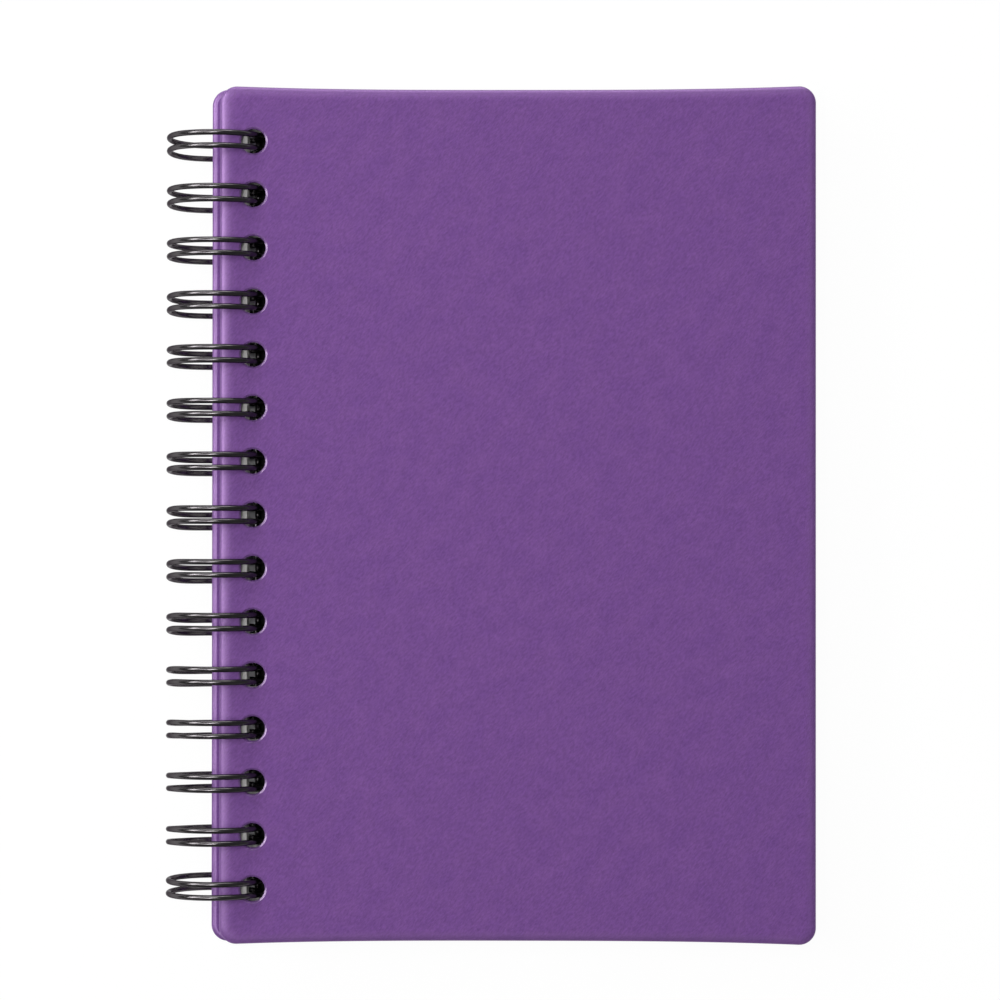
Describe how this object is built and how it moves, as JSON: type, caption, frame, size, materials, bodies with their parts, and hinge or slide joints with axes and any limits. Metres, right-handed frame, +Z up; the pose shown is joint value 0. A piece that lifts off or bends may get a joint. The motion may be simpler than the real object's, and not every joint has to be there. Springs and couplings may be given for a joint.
{
  "type": "spiral notebook",
  "caption": "Hard-cover notebook in purple leatherette, bound along its left edge by a black twin-loop wire through round holes; both covers open about the loops.",
  "frame": {"origin": "on the table, under the middle of the notebook's bounding box", "axes": "+X from the wire-bound spine towards the fore edge, +Y along the spine towards the head, +Z up out of the front cover"},
  "size_m": [0.155, 0.2056, 0.0235],
  "materials": {
    "purple_leatherette": "satin, fine grain",
    "grey_board": "matte",
    "endpaper": "matte",
    "pages": "matte",
    "black_wire": "glossy black coating"
  },
  "bodies": {
    "notebook": {"wire_binding": "black_wire", "page_block": "pages"},
    "front_cover": {"front_skin": "purple_leatherette", "front_board": "grey_board", "front_lining": "endpaper"},
    "back_cover": {"back_skin": "purple_leatherette", "back_board": "grey_board", "back_lining": "endpaper"}
  },
  "joints": [
    {"name": "front_cover_hinge", "type": "hinge", "parent": "notebook", "child": "front_cover", "pos_m": [-0.0657, 0, 0.01178], "axis": [0, -1, 0], "range_deg": [0, 180]},
    {"name": "back_cover_hinge", "type": "hinge", "parent": "notebook", "child": "back_cover", "pos_m": [-0.0657, 0, 0.01178], "axis": [0, 1, 0], "range_deg": [0, 180]}
  ]
}
